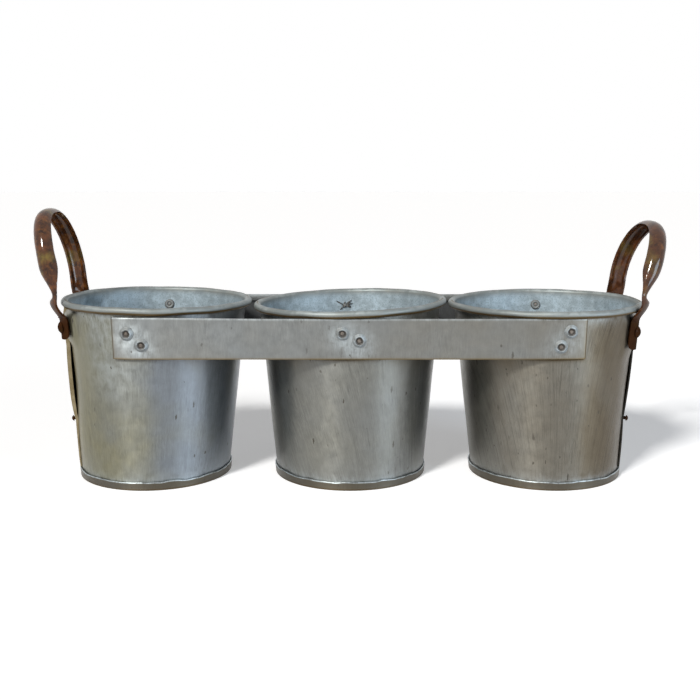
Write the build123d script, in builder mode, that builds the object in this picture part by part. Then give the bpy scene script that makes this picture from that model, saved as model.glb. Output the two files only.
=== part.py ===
from build123d import *
from math import acos, asin, atan2, cos, degrees, hypot, radians, sin, tan
import os

# Indoor herb planter: three tapered sheet metal pots in a row, held between two riveted
# straps, with a bent strap handle riveted to the outer side of each end pot.
# Millimetres. X runs along the row, -Y is the front, Z is up from the resting surface.

# Ways along Y
FRONT = -1
BACK = 1

# Pots: one rolled sheet each, its top edge curled outwards round a wire
rim_outer_d = 140.0
pot_height = 124.0
wall_foot_d = 106.2
wall_sheet = 0.8
rim_wire_d = 3.2
wire_clearance = 0.1
curl_sweep = 300.0
rim_gap = 1.0

# Pot bases: a recessed floor whose edge is folded down, round the wall's foot and up outside it
base_sheet = 0.8
chime_height = 6.0
floor_recess = 4.0
fold_clearance = 0.1
fold_corner_r = 0.6
skirt_edge_r = 0.36

# Side seams: the wall's outer end laps over its inner end and takes one small rivet
lap_width = 12.0
lap_sheet = 0.8
lap_end_gap = 0.6
end_lap_azimuth = 20.0
middle_lap_azimuth = 130.0
seam_rivet_z = 41.0
seam_rivet_inset = 4.5
seam_shank_d = 2.4
seam_head_d = 4.2
seam_head_h = 1.6
seam_tail_d = 4.0
seam_tail_h = 0.8

# Straps: hemmed sheet, leaning with the walls and bent round the end pots
strap_height = 26.5
strap_sheet = 1.0
strap_hem = 5.0
strap_rim_gap = 0.2
strap_end = {"left": 17.0, "right": 16.0}
seat_clearance = 0.1

# Blind rivets through strap and wall: along the strap from the pot's middle, and up from
# the strap's middle
front_rivet_places = {
    "left": ((-7.7, 3.2), (1.6, -4.1)),
    "middle": ((-5.5, 3.5), (5.8, -1.5)),
    "right": ((6.0, 4.5), (-1.0, -4.8)),
}
back_rivet_places = {
    "left": ((-1.0, 6.5), (6.0, -2.5)),
    "middle": ((-4.2, 5.4), (5.0, -3.5)),
    "right": ((5.0, 6.0), (-4.0, -3.0)),
}
blind_body_d = 4.8
blind_head_d = 9.6
blind_head_h = 2.0
blind_head_edge = 0.5
blind_dome_r = 5.8
blind_crater_d = 4.6
blind_crater_depth = 0.9
blind_bulb_d = 7.4
blind_bulb_h = 3.2
blind_bulb_slope = 1.0
blind_room = 0.6
pin_d = 3.0
pin_clearance = 0.05
pin_head_d = 4.4
pin_head_h = 1.4
hole_clearance = 0.1

# Handles: a flat strip riveted down at both feet, joggled past the rim, twisted and then
# arched with a crowned section to grip
handle_sheet = 1.6
foot_width = 13.5
foot_crown = 3.0
waist_pinch = {FRONT: 6.8, BACK: 0.0}
waist_crown = 1.0
grip_width = 12.8
grip_crown = 4.4
handle_azimuth = {"left": {FRONT: 31.0, BACK: 31.6}, "right": {FRONT: 33.0, BACK: 34.6}}
foot_end_drop = {"left": 23.0, "right": 30.0}
foot_rivet_drop = {"left": 14.5, "right": 17.5}
foot_top_drop = {FRONT: 10.0, BACK: 10.4}
foot_corner_r = 4.0
elbow_reach = {FRONT: 3.9, BACK: 5.5}
elbow_lift = {FRONT: 2.0, BACK: 0.5}
waist_inset = {FRONT: 1.1, BACK: -0.8}
arch_lift = 7.0
arch_inset = {FRONT: 0.0, BACK: 0.5}
arch_fullness = {FRONT: 2.35, BACK: 2.6}
arch_lean = {FRONT: 1.0, BACK: 1.55}
arch_steps = 8
arch_crowding = 1.3
joggle_steps = 6
twist_lift = {FRONT: 2.0, BACK: -9.0}
twist_length = {FRONT: 25.0, BACK: 20.0}
waist_share = 0.22
handle_rise = {"left": 57.5, "right": 48.4}
handle_splay = {"left": 15.7, "right": 17.3}
foot_shank_d = 4.5
foot_head_d = 8.4
foot_head_h = 2.1
foot_tail_d = 7.0
foot_tail_h = 1.4
length_tolerance = 0.01

# Worked out from the sizes above
rim_r = rim_outer_d / 2
curl_inner_r = rim_wire_d / 2 + wire_clearance
curl_outer_r = curl_inner_r + wall_sheet
curl_r = rim_r - curl_outer_r
curl_z = pot_height - curl_outer_r
wall_reach = curl_r - wall_foot_d / 2
taper = acos(curl_inner_r / hypot(wall_reach, curl_z)) - atan2(curl_z, wall_reach)
wall_depth = wall_sheet / cos(taper)
curl_foot = pot_height - 2 * curl_outer_r
pot_pitch = rim_outer_d + rim_gap
pot_x = {"left": -pot_pitch, "middle": 0.0, "right": pot_pitch}
end_sign = {"left": -1, "right": 1}
strap_mid_z = curl_foot - strap_rim_gap - strap_height / 2 * cos(taper)
strap_outside = seat_clearance + 2 * strap_sheet
arch_z = pot_height + arch_lift
foot_hollow = foot_crown - foot_width * foot_width / 8 / rim_r

os.makedirs("parts", exist_ok=True)


def wall_r(z):
    """Outside radius of a pot's wall at height z."""
    return wall_foot_d / 2 + z * tan(taper)


def pot_axis(x, direction=1):
    return Axis((x, 0, 0), (0, 0, direction))


def radial_plane(x, azimuth):
    """Upright plane through a pot's axis: its x runs outwards at the azimuth, its y runs up."""
    turn = radians(azimuth)
    return Plane(
        origin=(x, 0, 0),
        x_dir=(cos(turn), sin(turn), 0),
        z_dir=(sin(turn), -cos(turn), 0),
    )


def wall_seat(x, azimuth, z, stand_off):
    """Plane that faces squarely out of a pot's wall, a distance off its outside."""
    turn = radians(azimuth)
    out = Vector(cos(taper) * cos(turn), cos(taper) * sin(turn), -sin(taper))
    at_wall = Vector(x + wall_r(z) * cos(turn), wall_r(z) * sin(turn), z)
    return Plane(
        origin=at_wall + out * stand_off,
        x_dir=(-sin(turn), cos(turn), 0),
        z_dir=out,
    )


def strap_seat(pot, along, up, side):
    """Outside face of a strap, at a distance along it from a pot's middle line."""
    z = strap_mid_z + up
    end = end_sign.get(pot, 0)
    past_tangent = along * end
    if past_tangent <= 0:
        return wall_seat(pot_x[pot] + along, side * 90, z, strap_outside)
    turn = degrees(past_tangent / wall_r(z))
    return wall_seat(pot_x[pot], side * (90 - end * turn), z, strap_outside)


def end_azimuth(pot, turn):
    """Azimuth measured from the outer side of an end pot, positive towards the front."""
    return -turn if pot == "right" else 180 + turn


def lap_edge(pot):
    return middle_lap_azimuth if pot == "middle" else end_azimuth(pot, end_lap_azimuth)


def lap_turn(width, z):
    return degrees(width / wall_r(z))


def lap_direction(pot):
    """Way round the pot from the lap's free edge to its root."""
    return 1 if pot == "right" else -1


def seam_seat(pot):
    inset = lap_direction(pot) * lap_turn(seam_rivet_inset, seam_rivet_z)
    return wall_seat(pot_x[pot], lap_edge(pot) + inset, seam_rivet_z, lap_sheet)


def foot_seat(pot, way):
    turn = end_azimuth(pot, -way * handle_azimuth[pot][way])
    z = pot_height - foot_rivet_drop[pot]
    return wall_seat(pot_x[pot], turn, z, seat_clearance + foot_hollow + handle_sheet)


front_seats = {
    pot: [strap_seat(pot, along, up, FRONT) for along, up in places]
    for pot, places in front_rivet_places.items()
}
back_seats = {
    pot: [strap_seat(pot, along, up, BACK) for along, up in places]
    for pot, places in back_rivet_places.items()
}
foot_seats = {pot: [foot_seat(pot, way) for way in (FRONT, BACK)] for pot in end_sign}
hole_depth = 2 * (strap_outside + wall_sheet + blind_room + blind_bulb_h)

# Pot walls: the sheet's section turned about the pot's axis, with the lap on its outside
slope = Vector(sin(taper), cos(taper))
outwards = Vector(cos(taper), -sin(taper))
curl_centre = Vector(curl_r, curl_z)
wall_foot_z = base_sheet + fold_clearance
curl_start = 180 - degrees(taper)
for pot, x in pot_x.items():
    with BuildPart() as wall:
        with BuildSketch(radial_plane(x, 0)):
            with BuildLine():
                foot_in = (wall_r(wall_foot_z) - wall_depth, wall_foot_z)
                foot_out = (wall_r(wall_foot_z), wall_foot_z)
                Line(foot_in, curl_centre - outwards * curl_outer_r)
                over = CenterArc(curl_centre, curl_outer_r, curl_start, -curl_sweep)
                under = CenterArc(curl_centre, curl_inner_r, curl_start, -curl_sweep)
                Line(over @ 1, under @ 1)
                Line(curl_centre - outwards * curl_inner_r, foot_out)
                Line(foot_out, foot_in)
            make_face()
        revolve(axis=pot_axis(x))
        lap_foot_z = chime_height + lap_end_gap
        lap_top_z = curl_foot - lap_end_gap
        with BuildSketch(radial_plane(x, lap_edge(pot))) as lap_section:
            with BuildLine():
                Polyline(
                    (wall_r(lap_foot_z) - wall_depth / 2, lap_foot_z),
                    (wall_r(lap_foot_z) + lap_sheet, lap_foot_z),
                    (wall_r(lap_top_z) + lap_sheet, lap_top_z),
                    (wall_r(lap_top_z) - wall_depth / 2, lap_top_z),
                    close=True,
                )
            make_face()
        revolve(
            lap_section.sketch,
            axis=pot_axis(x, lap_direction(pot)),
            revolution_arc=lap_turn(lap_width, seam_rivet_z),
        )
        with Locations(*front_seats[pot], *back_seats[pot]):
            Cylinder(blind_body_d / 2 + hole_clearance, hole_depth, mode=Mode.SUBTRACT)
        with Locations(seam_seat(pot)):
            Cylinder(seam_shank_d / 2 + hole_clearance, hole_depth, mode=Mode.SUBTRACT)
        if pot in foot_seats:
            with Locations(*foot_seats[pot]):
                Cylinder(foot_shank_d / 2 + hole_clearance, hole_depth, mode=Mode.SUBTRACT)
    wall.part.label = f"{pot}_pot_wall"
    export_step(wall.part, f"parts/{pot}_pot_wall.step")

# Rim wires: a ring of wire inside each curled rim
for pot, x in pot_x.items():
    with BuildPart(Plane((x, 0, curl_z))) as rim_wire:
        Torus(curl_r, rim_wire_d / 2)
    rim_wire.part.label = f"{pot}_rim_wire"
    export_step(rim_wire.part, f"parts/{pot}_rim_wire.step")

# Pot bases: floor, inner leg, flat foot and outer skirt in one folded sheet
floor_top = floor_recess + base_sheet
for pot, x in pot_x.items():
    with BuildPart() as base:
        with BuildSketch(radial_plane(x, 0)) as fold:
            inner_leg = -wall_depth - fold_clearance
            with BuildLine():
                Polyline(
                    (0, floor_recess),
                    (wall_r(floor_recess) + inner_leg - base_sheet, floor_recess),
                    (wall_r(0) + inner_leg - base_sheet, 0),
                    (wall_r(0) + fold_clearance + base_sheet, 0),
                    (wall_r(chime_height) + fold_clearance + base_sheet, chime_height),
                    (wall_r(chime_height) + fold_clearance, chime_height),
                    (wall_r(base_sheet) + fold_clearance, base_sheet),
                    (wall_r(base_sheet) + inner_leg, base_sheet),
                    (wall_r(floor_top) + inner_leg, floor_top),
                    (0, floor_top),
                    close=True,
                )
            make_face()
            fillet(fold.vertices().group_by(Axis.Y)[0], fold_corner_r)
            fillet(fold.vertices().group_by(Axis.Y)[-1], skirt_edge_r)
        revolve(axis=pot_axis(x))
    base.part.label = f"{pot}_pot_base"
    export_step(base.part, f"parts/{pot}_pot_base.step")


def strap_section(plane):
    """Section of a strap against the wall: a web with a closed hem along each long edge."""
    middle = Vector(wall_r(strap_mid_z), strap_mid_z) + outwards * seat_clearance
    low = -strap_height / 2
    high = strap_height / 2

    def at(up, out):
        return middle + slope * up + outwards * out

    with BuildSketch(plane) as section:
        with BuildLine():
            Line(at(low + strap_sheet, 2 * strap_sheet), at(high - strap_sheet, 2 * strap_sheet))
            ThreePointArc(
                at(high - strap_sheet, 2 * strap_sheet),
                at(high, strap_sheet),
                at(high - strap_sheet, 0),
            )
            Polyline(
                at(high - strap_sheet, 0),
                at(high - strap_hem, 0),
                at(high - strap_hem, strap_sheet),
                at(low + strap_hem, strap_sheet),
                at(low + strap_hem, 0),
                at(low + strap_sheet, 0),
            )
            ThreePointArc(
                at(low + strap_sheet, 0),
                at(low, strap_sheet),
                at(low + strap_sheet, 2 * strap_sheet),
            )
        make_face()
    return section.sketch


# Straps: straight between the end pots' middle lines, then bent round those pots
straps = {
    "front_strap": (FRONT, front_seats),
    "back_strap": (BACK, back_seats),
}
for name, (side, seats) in straps.items():
    with BuildPart() as strap:
        extrude(strap_section(radial_plane(-side * pot_pitch, side * 90)), amount=2 * pot_pitch)
        for pot, end in end_sign.items():
            revolve(
                strap_section(radial_plane(pot_x[pot], side * 90)),
                axis=pot_axis(pot_x[pot], -side * end),
                revolution_arc=degrees(strap_end[pot] / wall_r(strap_mid_z)),
            )
        with Locations(*seats["left"], *seats["middle"], *seats["right"]):
            Cylinder(blind_body_d / 2 + hole_clearance, hole_depth, mode=Mode.SUBTRACT)
    strap.part.label = name
    export_step(strap.part, f"parts/{name}.step")

# One blind rivet and its broken-off pin, standing on the strap's outside face
grip_depth = strap_outside + wall_sheet + blind_room
bulb_end = -grip_depth - blind_bulb_h
bore_r = pin_d / 2 + pin_clearance
with BuildPart() as blind_rivet:
    with BuildSketch(Plane.XZ):
        with BuildLine():
            crater_rim = (blind_crater_d / 2, blind_head_h)
            head_edge = (blind_head_d / 2, blind_head_edge)
            Polyline(
                head_edge,
                (blind_head_d / 2, 0),
                (blind_body_d / 2, 0),
                (blind_body_d / 2, -grip_depth),
                (blind_bulb_d / 2, -grip_depth - blind_bulb_slope),
                (blind_bulb_d / 2, bulb_end),
                (bore_r, bulb_end),
                (bore_r, blind_head_h - blind_crater_depth),
                crater_rim,
            )
            RadiusArc(crater_rim, head_edge, blind_dome_r)
        make_face()
    revolve(axis=Axis.Z)
with BuildPart() as blind_pin:
    with BuildSketch(Plane.XZ):
        with BuildLine():
            Polyline(
                (0, blind_head_h - blind_crater_depth),
                (pin_d / 2, blind_head_h - blind_crater_depth),
                (pin_d / 2, bulb_end - pin_clearance),
                (pin_head_d / 2, bulb_end - pin_clearance),
                (pin_head_d / 2, bulb_end - pin_head_h / 2),
                (pin_d / 2, bulb_end - pin_head_h),
                (0, bulb_end - pin_head_h),
                close=True,
            )
        make_face()
    revolve(axis=Axis.Z)

# Strap rivets and pins, each set as one group
for name, (side, seats) in straps.items():
    places = [*seats["left"], *seats["middle"], *seats["right"]]
    with BuildPart() as strap_rivets:
        with Locations(*places):
            add(blind_rivet.part)
    strap_rivets.part.label = f"{name}_rivets"
    export_step(strap_rivets.part, f"parts/{name}_rivets.step")
    with BuildPart() as rivet_pins:
        with Locations(*places):
            add(blind_pin.part)
    rivet_pins.part.label = f"{name}_rivet_pins"
    export_step(rivet_pins.part, f"parts/{name}_rivet_pins.step")


def solid_rivet_section(head_d, head_h, shank_d, grip, tail_d, tail_h):
    """Half section of a solid rivet: a domed head, a shank and a flattened tail inside the pot."""
    dome_r = (head_d * head_d / 4 + head_h * head_h) / (2 * head_h)
    dome_half = degrees(asin(head_d / 2 / dome_r))
    with BuildSketch(Plane.XZ) as section:
        with BuildLine():
            Polyline(
                (0, head_h),
                (0, -grip - tail_h),
                (tail_d / 2 - tail_h / 2, -grip - tail_h),
                (tail_d / 2, -grip),
                (shank_d / 2, -grip),
                (shank_d / 2, 0),
                (head_d / 2, 0),
            )
            CenterArc((0, head_h - dome_r), dome_r, 90 - dome_half, dome_half)
        make_face()
    return section.sketch


# Seam rivets: one small rivet through each lap
seam_grip = lap_sheet + wall_sheet + seat_clearance
with BuildPart() as seam_rivet:
    revolve(
        solid_rivet_section(
            seam_head_d, seam_head_h, seam_shank_d, seam_grip, seam_tail_d, seam_tail_h
        ),
        axis=Axis.Z,
    )
for pot in pot_x:
    with BuildPart() as placed_seam_rivet:
        with Locations(seam_seat(pot)):
            add(seam_rivet.part)
    placed_seam_rivet.part.label = f"{pot}_seam_rivet"
    export_step(placed_seam_rivet.part, f"parts/{pot}_seam_rivet.step")

# Handle rivets: two domed rivets to each handle
foot_grip = handle_sheet + foot_hollow + wall_sheet + 2 * seat_clearance
with BuildPart() as foot_rivet:
    revolve(
        solid_rivet_section(
            foot_head_d, foot_head_h, foot_shank_d, foot_grip, foot_tail_d, foot_tail_h
        ),
        axis=Axis.Z,
    )
for pot, seats in foot_seats.items():
    with BuildPart() as handle_rivets:
        with Locations(*seats):
            add(foot_rivet.part)
    handle_rivets.part.label = f"{pot}_handle_rivets"
    export_step(handle_rivets.part, f"parts/{pot}_handle_rivets.step")


def ease(share):
    """Smooth step from 0 to 1."""
    held = min(max(share, 0), 1)
    return held * held * (3 - 2 * held)


def crescent(point, run, face, width, crown):
    """Section of the handle strip: an arched band across the run, its inner crown at the point."""
    bend_r = (width * width / 4 + crown * crown) / (2 * crown)
    half = degrees(asin(width / 2 / bend_r))
    centre = (0, handle_sheet - bend_r)
    with BuildSketch(Plane(origin=point, x_dir=face.cross(run), z_dir=run)) as section:
        with BuildLine():
            outer = CenterArc(centre, bend_r, 90 - half, 2 * half)
            inner = CenterArc(centre, bend_r - handle_sheet, 90 - half, 2 * half)
            Line(outer @ 0, inner @ 0)
            Line(outer @ 1, inner @ 1)
        make_face()
    return section.sketch


def between(low, high, share):
    return low + (high - low) * ease(share)


def handle_reach(pot):
    """How far from the pot's axis the top of its handle stands."""
    waist_reach = (rim_r + elbow_reach[FRONT]) * cos(radians(handle_azimuth[pot][FRONT]))
    return waist_reach - waist_inset[FRONT] + handle_splay[pot]


def half_stations(pot, way):
    """One half of a handle from a foot to the arch's top: point, run, face, width and crown."""
    end = end_sign[pot]
    turn = radians(handle_azimuth[pot][way])
    out = Vector(end * cos(turn), way * sin(turn), 0)
    up = Vector(0, 0, 1)
    centre = Vector(pot_x[pot], 0, 0)
    around = Vector(-end * sin(turn), way * cos(turn), 0)
    run = out * sin(taper) + up * cos(taper)
    face = out * cos(taper) - up * sin(taper)
    stand_off = (seat_clearance + foot_hollow) / cos(taper)
    foot_top_z = pot_height - foot_top_drop[way]
    elbow_z = pot_height + elbow_lift[way]
    elbow_r = rim_r + elbow_reach[way]
    twist_z = pot_height + twist_lift[way]
    full_twist = radians(90) - turn
    joggle = elbow_r - wall_r(elbow_z) - stand_off
    joggle_length = elbow_z - foot_top_z
    stations = []
    for z in (pot_height - foot_end_drop[pot], foot_top_z):
        point = centre + out * (wall_r(z) + stand_off) + up * z
        stations.append((point, run, face, foot_width, foot_crown))
    for step in range(1, joggle_steps + 1):
        share = step / joggle_steps
        z = foot_top_z + share * joggle_length
        point = centre + out * (wall_r(z) + stand_off + joggle * ease(share)) + up * z
        steep = 6 * share * (1 - share) * joggle / joggle_length + tan(taper)
        run = (up + out * steep).normalized()
        face = (out - up * steep).normalized()
        twisted = (z - twist_z) / twist_length[way]
        face = face * cos(full_twist * ease(twisted)) + around * sin(full_twist * ease(twisted))
        width = between(foot_width, grip_width, twisted)
        stations.append((point, run, face, width, between(foot_crown, waist_crown, 2 * share)))
    reach = elbow_r * cos(turn) - waist_inset[way]
    lean = handle_reach(pot) - reach
    rise = handle_rise[pot]
    arch_foot = centre + Vector(end * reach, 0, arch_z)
    level = Vector(end, 0, 0)
    sideways = (level * rise - up * handle_splay[pot]).normalized()
    outwards_along_y = Vector(0, way, 0)
    half_span = elbow_r * sin(turn) - arch_inset[way]
    fullness = arch_fullness[way]
    power = 2 / fullness
    for step in range(arch_steps + 1):
        angle = radians(90) * (step / arch_steps) ** arch_crowding
        across = cos(angle) ** power if step < arch_steps else 0
        height = sin(angle) ** power
        leant = lean * height ** arch_lean[way]
        point = arch_foot + outwards_along_y * half_span * across + level * leant + up * rise * height
        leaning = lean * arch_lean[way] * height ** (arch_lean[way] - 1)
        climb = (level * leaning + up * rise) * across ** (fullness - 1)
        run = (climb - outwards_along_y * half_span * height ** (fullness - 1)).normalized()
        square = (sideways - run * run.dot(sideways)).normalized()
        face = run.cross(square) * end * way
        twisted = (point.Z - twist_z) / twist_length[way]
        left_to_twist = (1 - ease(twisted)) * full_twist
        face = face * cos(left_to_twist) + square * sin(left_to_twist)
        waisted = 1 - ease(abs(twisted - waist_share) / (1 - waist_share))
        width = between(foot_width, grip_width, twisted) - waist_pinch[way] * waisted
        stations.append((point, run, face, width, between(waist_crown, grip_crown, twisted)))
    return stations


# Handles: the strip's sections from foot to foot, with a rivet hole in each foot
for pot, seats in foot_seats.items():
    stations = half_stations(pot, FRONT)
    for point, run, face, width, crown in reversed(half_stations(pot, BACK)[:-1]):
        stations.append((point, -run, face, width, crown))
    with BuildPart() as handle:
        sections = [crescent(*station) for station in stations]
        loft(sections[:2], ruled=True)
        loft(sections[1:-1])
        loft(sections[-2:], ruled=True)
        thin_edges = handle.edges().filter_by(
            lambda edge: abs(edge.length - handle_sheet) < length_tolerance
        )
        fillet(thin_edges.group_by(Axis.Z)[0], foot_corner_r)
        with Locations(*seats):
            Cylinder(foot_shank_d / 2 + hole_clearance, hole_depth, mode=Mode.SUBTRACT)
    handle.part.label = f"{pot}_handle"
    export_step(handle.part, f"parts/{pot}_handle.step")
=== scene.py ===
from math import acos, atan2, cos, exp, hypot, pi, radians, sin, tan

import bmesh
import bpy
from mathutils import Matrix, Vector, noise


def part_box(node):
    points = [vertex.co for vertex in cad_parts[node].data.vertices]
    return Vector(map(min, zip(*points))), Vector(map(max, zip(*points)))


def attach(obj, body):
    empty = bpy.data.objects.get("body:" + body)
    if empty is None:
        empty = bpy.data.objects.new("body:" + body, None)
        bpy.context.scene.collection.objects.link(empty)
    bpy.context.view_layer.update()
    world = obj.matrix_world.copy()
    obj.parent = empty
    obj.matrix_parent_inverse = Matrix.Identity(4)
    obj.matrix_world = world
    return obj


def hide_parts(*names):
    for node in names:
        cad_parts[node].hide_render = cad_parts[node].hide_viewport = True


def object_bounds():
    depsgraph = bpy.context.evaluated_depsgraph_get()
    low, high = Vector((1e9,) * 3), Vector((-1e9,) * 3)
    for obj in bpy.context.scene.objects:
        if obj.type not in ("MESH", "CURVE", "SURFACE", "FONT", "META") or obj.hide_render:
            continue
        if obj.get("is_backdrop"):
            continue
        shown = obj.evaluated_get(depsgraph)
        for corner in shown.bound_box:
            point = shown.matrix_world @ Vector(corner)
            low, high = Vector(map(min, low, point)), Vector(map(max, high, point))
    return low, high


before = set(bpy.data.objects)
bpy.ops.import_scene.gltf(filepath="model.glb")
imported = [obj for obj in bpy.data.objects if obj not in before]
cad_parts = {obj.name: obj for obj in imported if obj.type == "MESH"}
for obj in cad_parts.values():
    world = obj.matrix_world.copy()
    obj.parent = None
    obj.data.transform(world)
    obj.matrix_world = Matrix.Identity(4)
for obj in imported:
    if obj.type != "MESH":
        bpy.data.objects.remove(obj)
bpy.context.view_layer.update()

# Pot walls
# Each pot is one zinc-coated sheet rolled into a tapered tube, its top edge curled out round a wire.
# The sheet's ends lap on the side, where a small rivet holds them and the free edge gapes a little.
sheet = 0.0008
wire_room = 0.0001
foot_radius = 0.0531
wall_foot = 0.0009
chime_top = 0.006
curl_sweep = radians(300)
steps_round = 240
lap_width = 0.012
lap_gap = 0.0006
lap_edges = {"left": radians(200), "middle": radians(130), "right": radians(-20)}
lap_ways = {"left": -1, "middle": -1, "right": 1}
lap_rivet_height = 0.041
lap_hold_top = 0.101
lap_gape_above = {"left": 0.0023, "middle": 0.0, "right": 0.0014}
lap_hem = {"left": 0.0024, "middle": sheet, "right": sheet}
lap_gape_below = {"left": 0.0005, "middle": 0.0, "right": 0.0008}
rim_lift = {"left": 0.0022, "middle": 0.0004, "right": 0.0}
rim_tilt = {"left": radians(-1.0), "middle": radians(1.5), "right": radians(0.4)}
rim_nod = {"left": radians(0.5), "middle": radians(0.35), "right": radians(0.3)}
side_push = {"left": 0.0042, "middle": 0.0, "right": 0.0015}
handle_feet = {
    "left": (radians(211), radians(148.4)),
    "middle": (),
    "right": (radians(-33), radians(34.6)),
}
handle_foot_ends = {"left": 0.101, "middle": 0.1, "right": 0.094}
foot_hold = radians(6)
foot_fade = radians(13)
foot_blend = 0.009
foot_release = (0.113, 0.1185)
rim_bend = (0.075, 0.118)
rim_wave = 0.0004
dent_depth = 0.0009
ripple_depth = 0.00005
strap_foot = 0.0919
inner_steps = 36
bead_steps = 72
curl_steps = 12
wear_reach = 0.003
crease_shade_reach = 0.0007
inner_crease_shade_reach = 0.0016
strap_shadow_reach = 0.007
shadow_line_reach = 0.001
lap_sunk = 0.0003
lap_hem_rise = (0.02, 0.06)
lap_shadow = 0.02
sheet_seed = {"left": 3.1, "middle": 17.7, "right": 41.3}

wire_low, wire_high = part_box("middle_rim_wire")
wire_radius = (wire_high.z - wire_low.z) / 2
ring_radius = (wire_high.x - wire_low.x) / 2 - wire_radius
ring_height = (wire_high.z + wire_low.z) / 2
curl_inside = wire_radius + wire_room
curl_outside = curl_inside + sheet
bead_foot = ring_height - curl_outside
reach = ring_radius - foot_radius
taper = acos(curl_inside / hypot(reach, ring_height)) - atan2(ring_height, reach)
pot_axis = {}
for pot in ("left", "middle", "right"):
    low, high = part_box(f"{pot}_rim_wire")
    pot_axis[pot] = (low.x + high.x) / 2


def wall_radius(height):
    """Outside radius of a pot's wall at a height."""
    return foot_radius + height * tan(taper)


def run(start, end, steps, face):
    """Points between two places of a section, without its two ends."""
    between = []
    for step in range(1, steps):
        share = step / steps
        across = start[0] + (end[0] - start[0]) * share
        between.append((across, start[1] + (end[1] - start[1]) * share, face))
    return between


def arc(centre, radius, first, last, steps, face):
    """Points of a round stretch of a section, with its two ends."""
    points = []
    for step in range(steps + 1):
        turn = first + (last - first) * step / steps
        points.append((centre[0] + radius * cos(turn), centre[1] + radius * sin(turn), face))
    return points


def smooth(value, low, high):
    """A soft step from 0 to 1 between two values."""
    share = min(max((value - low) / (high - low), 0), 1)
    return share * share * (3 - 2 * share)


def add_object(name, data):
    made = bpy.data.objects.new(name, data)
    bpy.context.scene.collection.objects.link(made)
    return made


def finished_piece(name, shape, marks):
    """An object from a built shape, with how rubbed, how dirty and how warm each point is, partly as painted
    light and shade.
    """
    bmesh.ops.recalc_face_normals(shape, faces=shape.faces)
    mesh = bpy.data.meshes.new(name)
    shape.to_mesh(mesh)
    shape.free()
    for index, mark in enumerate(("wear_and_highlight", "grime_and_shade", "tone_and_light")):
        attribute = mesh.attributes.new(mark, "FLOAT", "POINT")
        attribute.data.foreach_set("value", [value[index] for value in marks])
    return add_object(name, mesh)


def turned_piece(name, axis, section, shift, marks):
    """A closed section turned about a pot's axis, with its places on the sheet in metres."""
    turns = [pi / 2 + 2 * pi * step / steps_round for step in range(steps_round)]
    lengths = [0]
    for first, second in zip(section, section[1:] + section[:1]):
        lengths.append(lengths[-1] + hypot(second[0] - first[0], second[1] - first[1]))
    crest = lengths[max(range(len(section)), key=lambda index: section[index][1])]
    shape = bmesh.new()
    places = shape.loops.layers.uv.new("sheet")
    rows = []
    values = []
    for turn in turns:
        row = []
        for radius, height, face in section:
            out, up = shift(turn, radius, height)
            across = (radius + out) * cos(turn)
            row.append(shape.verts.new((axis + across, (radius + out) * sin(turn), height + up)))
            values.append(marks(turn, height, face))
        rows.append(row)
    for step, row in enumerate(rows):
        after = rows[(step + 1) % steps_round]
        sides = (turns[step], turns[step] + 2 * pi / steps_round)
        for index in range(len(section)):
            follow = (index + 1) % len(section)
            made = shape.faces.new((row[index], after[index], after[follow], row[follow]))
            made.smooth = True
            made.material_index = 1 if section[index][2] in ("inside", "bead") else 0
            for loop, (side, end) in zip(made.loops, ((0, 0), (1, 0), (1, 1), (0, 1))):
                across = (sides[side] - 3 * pi / 2) * ring_radius
                loop[places].uv = (across, lengths[index + end] - crest)
    return finished_piece(name, shape, values)


def wall_section():
    """A wall's closed section with its curl, in finer steps below the bead and at the strap's foot."""
    out = Vector((cos(taper), -sin(taper)))
    ring = Vector((ring_radius, ring_height))
    start = pi - taper
    inner_foot = (wall_radius(wall_foot) - sheet / cos(taper), wall_foot)
    outer_face = []
    stops = (ring_height, bead_foot - 0.003, strap_foot + 0.001, strap_foot - 0.004, wall_foot)
    for high, low, steps in zip(stops, stops[1:], (14, 14, 14, 52)):
        outer_face += run((wall_radius(high), high), (wall_radius(low), low), steps, "outside")
        outer_face.append((wall_radius(low), low, "outside"))
    return [
        (*inner_foot, "inside"),
        *run(inner_foot, ring - out * curl_outside, inner_steps, "inside"),
        *arc(ring, curl_outside, start, start - curl_sweep, bead_steps, "bead"),
        *arc(ring, curl_inside, start - curl_sweep, start, curl_steps, "hidden"),
        *outer_face,
    ]


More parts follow.
